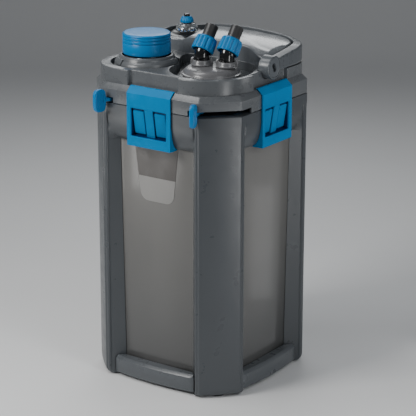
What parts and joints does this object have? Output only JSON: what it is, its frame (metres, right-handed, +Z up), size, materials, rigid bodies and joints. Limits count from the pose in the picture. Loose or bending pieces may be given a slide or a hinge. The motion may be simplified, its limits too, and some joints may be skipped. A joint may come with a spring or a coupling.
{
  "type": "canister filter",
  "caption": "Square-plan external canister filter with corner posts, a latched pump head, priming button, swivelling hose connectors, heater dial and a folding carry handle.",
  "frame": {"origin": "middle of the base, on the surface that the filter stands on; the middle of the body's square plan", "axes": "+Z up, -Y the front with the label, +X the right side with the connector well, +Y the rear with the heater and the cable gland"},
  "size_m": [0.2424, 0.2804, 0.489],
  "materials": {
    "grey_plastic": "fine moulded texture, satin",
    "light_grey_plastic": "satin",
    "smoky_plastic": "smoky grey, smooth",
    "label": "plain grey film in two tones",
    "rubber": "matt",
    "matt_black_plastic": "matt",
    "gloss_black_plastic": "glossy",
    "gloss_grey_plastic": "glossy",
    "blue_plastic": "satin",
    "steel": "plain",
    "clear_plastic": "clear, polished",
    "white_plastic": "satin",
    "foam": "open cell foam"
  },
  "bodies": {
    "canister": {"base_rail_front": "grey_plastic", "base_rail_left": "grey_plastic", "base_rail_rear": "grey_plastic", "base_rail_right": "grey_plastic", "clip_catch_front": "blue_plastic", "clip_catch_left": "blue_plastic", "clip_catch_rear": "blue_plastic", "clip_catch_right": "blue_plastic", "collar": "grey_plastic", "connector_plate": "gloss_grey_plastic", "corner_post_front_left": "grey_plastic", "corner_post_front_right": "grey_plastic", "corner_post_rear_left": "grey_plastic", "corner_post_rear_right": "grey_plastic", "elbow_ring_inlet": "gloss_grey_plastic", "elbow_ring_outlet": "gloss_grey_plastic", "filter_foam_lower": "foam", "filter_foam_upper": "foam", "handle_pivot_left": "steel", "handle_pivot_right": "steel", "head_floor": "matt_black_plastic", "head_housing": "grey_plastic", "heater_dome": "clear_plastic", "heater_mount": "gloss_black_plastic", "heater_rod": "gloss_black_plastic", "heater_scale_ring": "white_plastic", "label_plate": "label", "main_seal": "rubber", "mains_cable_gland": "gloss_black_plastic", "media_basket_lower": "grey_plastic", "media_basket_upper": "grey_plastic", "prefilter_cage": "grey_plastic", "prefilter_foam": "foam", "prime_barrel": "matt_black_plastic", "prime_collar": "grey_plastic", "prime_spring": "steel", "pump_hood": "light_grey_plastic", "pump_motor": "matt_black_plastic", "pump_volute": "matt_black_plastic", "rubber_foot_front_left": "rubber", "rubber_foot_front_right": "rubber", "rubber_foot_rear_left": "rubber", "rubber_foot_rear_right": "rubber", "tank": "smoky_plastic"},
    "prime_cap_button": {"prime_cap": "blue_plastic"},
    "carry_handle_bail": {"carry_handle": "grey_plastic"},
    "prefilter_lock": {"prefilter_lock_lever": "blue_plastic"},
    "primer_lock": {"primer_lock_lever": "blue_plastic"},
    "inlet_elbow": {"elbow_inlet": "gloss_black_plastic", "hose_tail_inlet": "matt_black_plastic"},
    "outlet_elbow": {"elbow_outlet": "gloss_black_plastic", "hose_tail_outlet": "matt_black_plastic"},
    "inlet_nut": {"union_nut_inlet": "blue_plastic"},
    "outlet_nut": {"union_nut_outlet": "blue_plastic"},
    "heater_dial": {"heater_knob": "blue_plastic"},
    "pump_rotor": {"impeller": "white_plastic"},
    "clip_front": {"clip_lever_front": "blue_plastic"},
    "clip_right": {"clip_lever_right": "blue_plastic"},
    "clip_rear": {"clip_lever_rear": "blue_plastic"},
    "clip_left": {"clip_lever_left": "blue_plastic"}
  },
  "joints": [
    {"name": "handle_swing", "type": "hinge", "parent": "canister", "child": "carry_handle_bail", "pos_m": [0, 0, 0.4335], "axis": [1, 0, 0], "range_deg": [0, 95]},
    {"name": "prime_press", "type": "slide", "parent": "canister", "child": "prime_cap_button", "axis": [0, 0, -1], "range_m": [0, 0.02], "stiffness_N_per_m": 600, "springref_m": -0.004, "deforming": ["prime_spring"]},
    {"name": "prefilter_lock_turn", "type": "hinge", "parent": "canister", "child": "prefilter_lock", "pos_m": [0.047, -0.045, 0.389], "axis": [0, 0, 1], "range_deg": [0, 56]},
    {"name": "primer_lock_turn", "type": "hinge", "parent": "canister", "child": "primer_lock", "pos_m": [-0.053, -0.051, 0.389], "axis": [0, 0, 1], "range_deg": [-56, 0]},
    {"name": "inlet_elbow_swivel", "type": "hinge", "parent": "canister", "child": "inlet_elbow", "pos_m": [0.0348, -0.0491, 0.44], "axis": [0, 0, 1], "range_deg": [-8, 75]},
    {"name": "outlet_elbow_swivel", "type": "hinge", "parent": "canister", "child": "outlet_elbow", "pos_m": [0.0678, -0.0397, 0.44], "axis": [0, 0, 1], "range_deg": [-75, 8]},
    {"name": "inlet_nut_turn", "type": "hinge", "parent": "inlet_elbow", "child": "inlet_nut", "pos_m": [0.03511, -0.04323, 0.46179], "axis": [0.0308, 0.587, 0.809], "continuous": true},
    {"name": "outlet_nut_turn", "type": "hinge", "parent": "outlet_elbow", "child": "outlet_nut", "pos_m": [0.06811, -0.03383, 0.46179], "axis": [0.0308, 0.587, 0.809], "continuous": true},
    {"name": "heater_dial_turn", "type": "hinge", "parent": "canister", "child": "heater_dial", "pos_m": [-0.075, 0.071, 0.464], "axis": [0, 0, 1], "range_deg": [-120, 120]},
    {"name": "impeller_spin", "type": "hinge", "parent": "canister", "child": "pump_rotor", "pos_m": [0.02, 0.058, 0.37], "axis": [0, 0, 1], "continuous": true},
    {"name": "clip_front_open", "type": "hinge", "parent": "canister", "child": "clip_front", "pos_m": [0, -0.1074, 0.4122], "axis": [-1, 0, 0], "range_deg": [0, 50]},
    {"name": "clip_right_open", "type": "hinge", "parent": "canister", "child": "clip_right", "pos_m": [0.1074, 0, 0.4122], "axis": [0, -1, 0], "range_deg": [0, 50]},
    {"name": "clip_rear_open", "type": "hinge", "parent": "canister", "child": "clip_rear", "pos_m": [0, 0.1074, 0.4122], "axis": [1, 0, 0], "range_deg": [0, 50]},
    {"name": "clip_left_open", "type": "hinge", "parent": "canister", "child": "clip_left", "pos_m": [-0.1074, 0, 0.4122], "axis": [0, 1, 0], "range_deg": [0, 50]}
  ]
}
